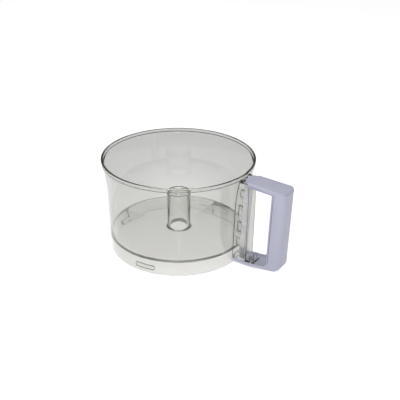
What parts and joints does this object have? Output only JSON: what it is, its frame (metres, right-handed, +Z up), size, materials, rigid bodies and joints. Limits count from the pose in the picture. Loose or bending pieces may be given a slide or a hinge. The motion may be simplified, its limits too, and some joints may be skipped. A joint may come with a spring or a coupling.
{
  "type": "food processor work bowl",
  "caption": "Clear round work bowl with a central drive tube, a bayonet skirt, a loop handle and a spring-loaded lid interlock rod.",
  "frame": {"origin": "middle of the footprint of bowl and handle together, on the surface that the bowl stands on", "axes": "+Z up along the bowl's axis, +X from the bowl towards the handle"},
  "size_m": [0.2619, 0.2, 0.1244],
  "materials": {
    "clear_plastic": "clear, polished",
    "handle_plastic": "satin moulded",
    "liner_plastic": "fine matt moulded",
    "rod_plastic": "moulded acetal",
    "bush_plastic": "moulded nylon",
    "stainless": "drawn wire and turned steel"
  },
  "bodies": {
    "bowl_body": {"bowl": "clear_plastic", "handle_shell": "handle_plastic", "grip_liner": "liner_plastic", "handle_screw_front": "stainless", "handle_screw_rear": "stainless", "return_spring": "stainless", "guide_bush": "bush_plastic"},
    "rod_body": {"push_rod": "rod_plastic", "rod_cap": "rod_plastic", "rod_pin": "stainless", "spring_washer": "stainless"}
  },
  "joints": [
    {"name": "rod_press", "type": "slide", "parent": "bowl_body", "child": "rod_body", "axis": [0, 0, -1], "range_m": [0, 0.007], "stiffness_N_per_m": 160, "springref_m": -0.006, "deforming": ["return_spring"]}
  ]
}
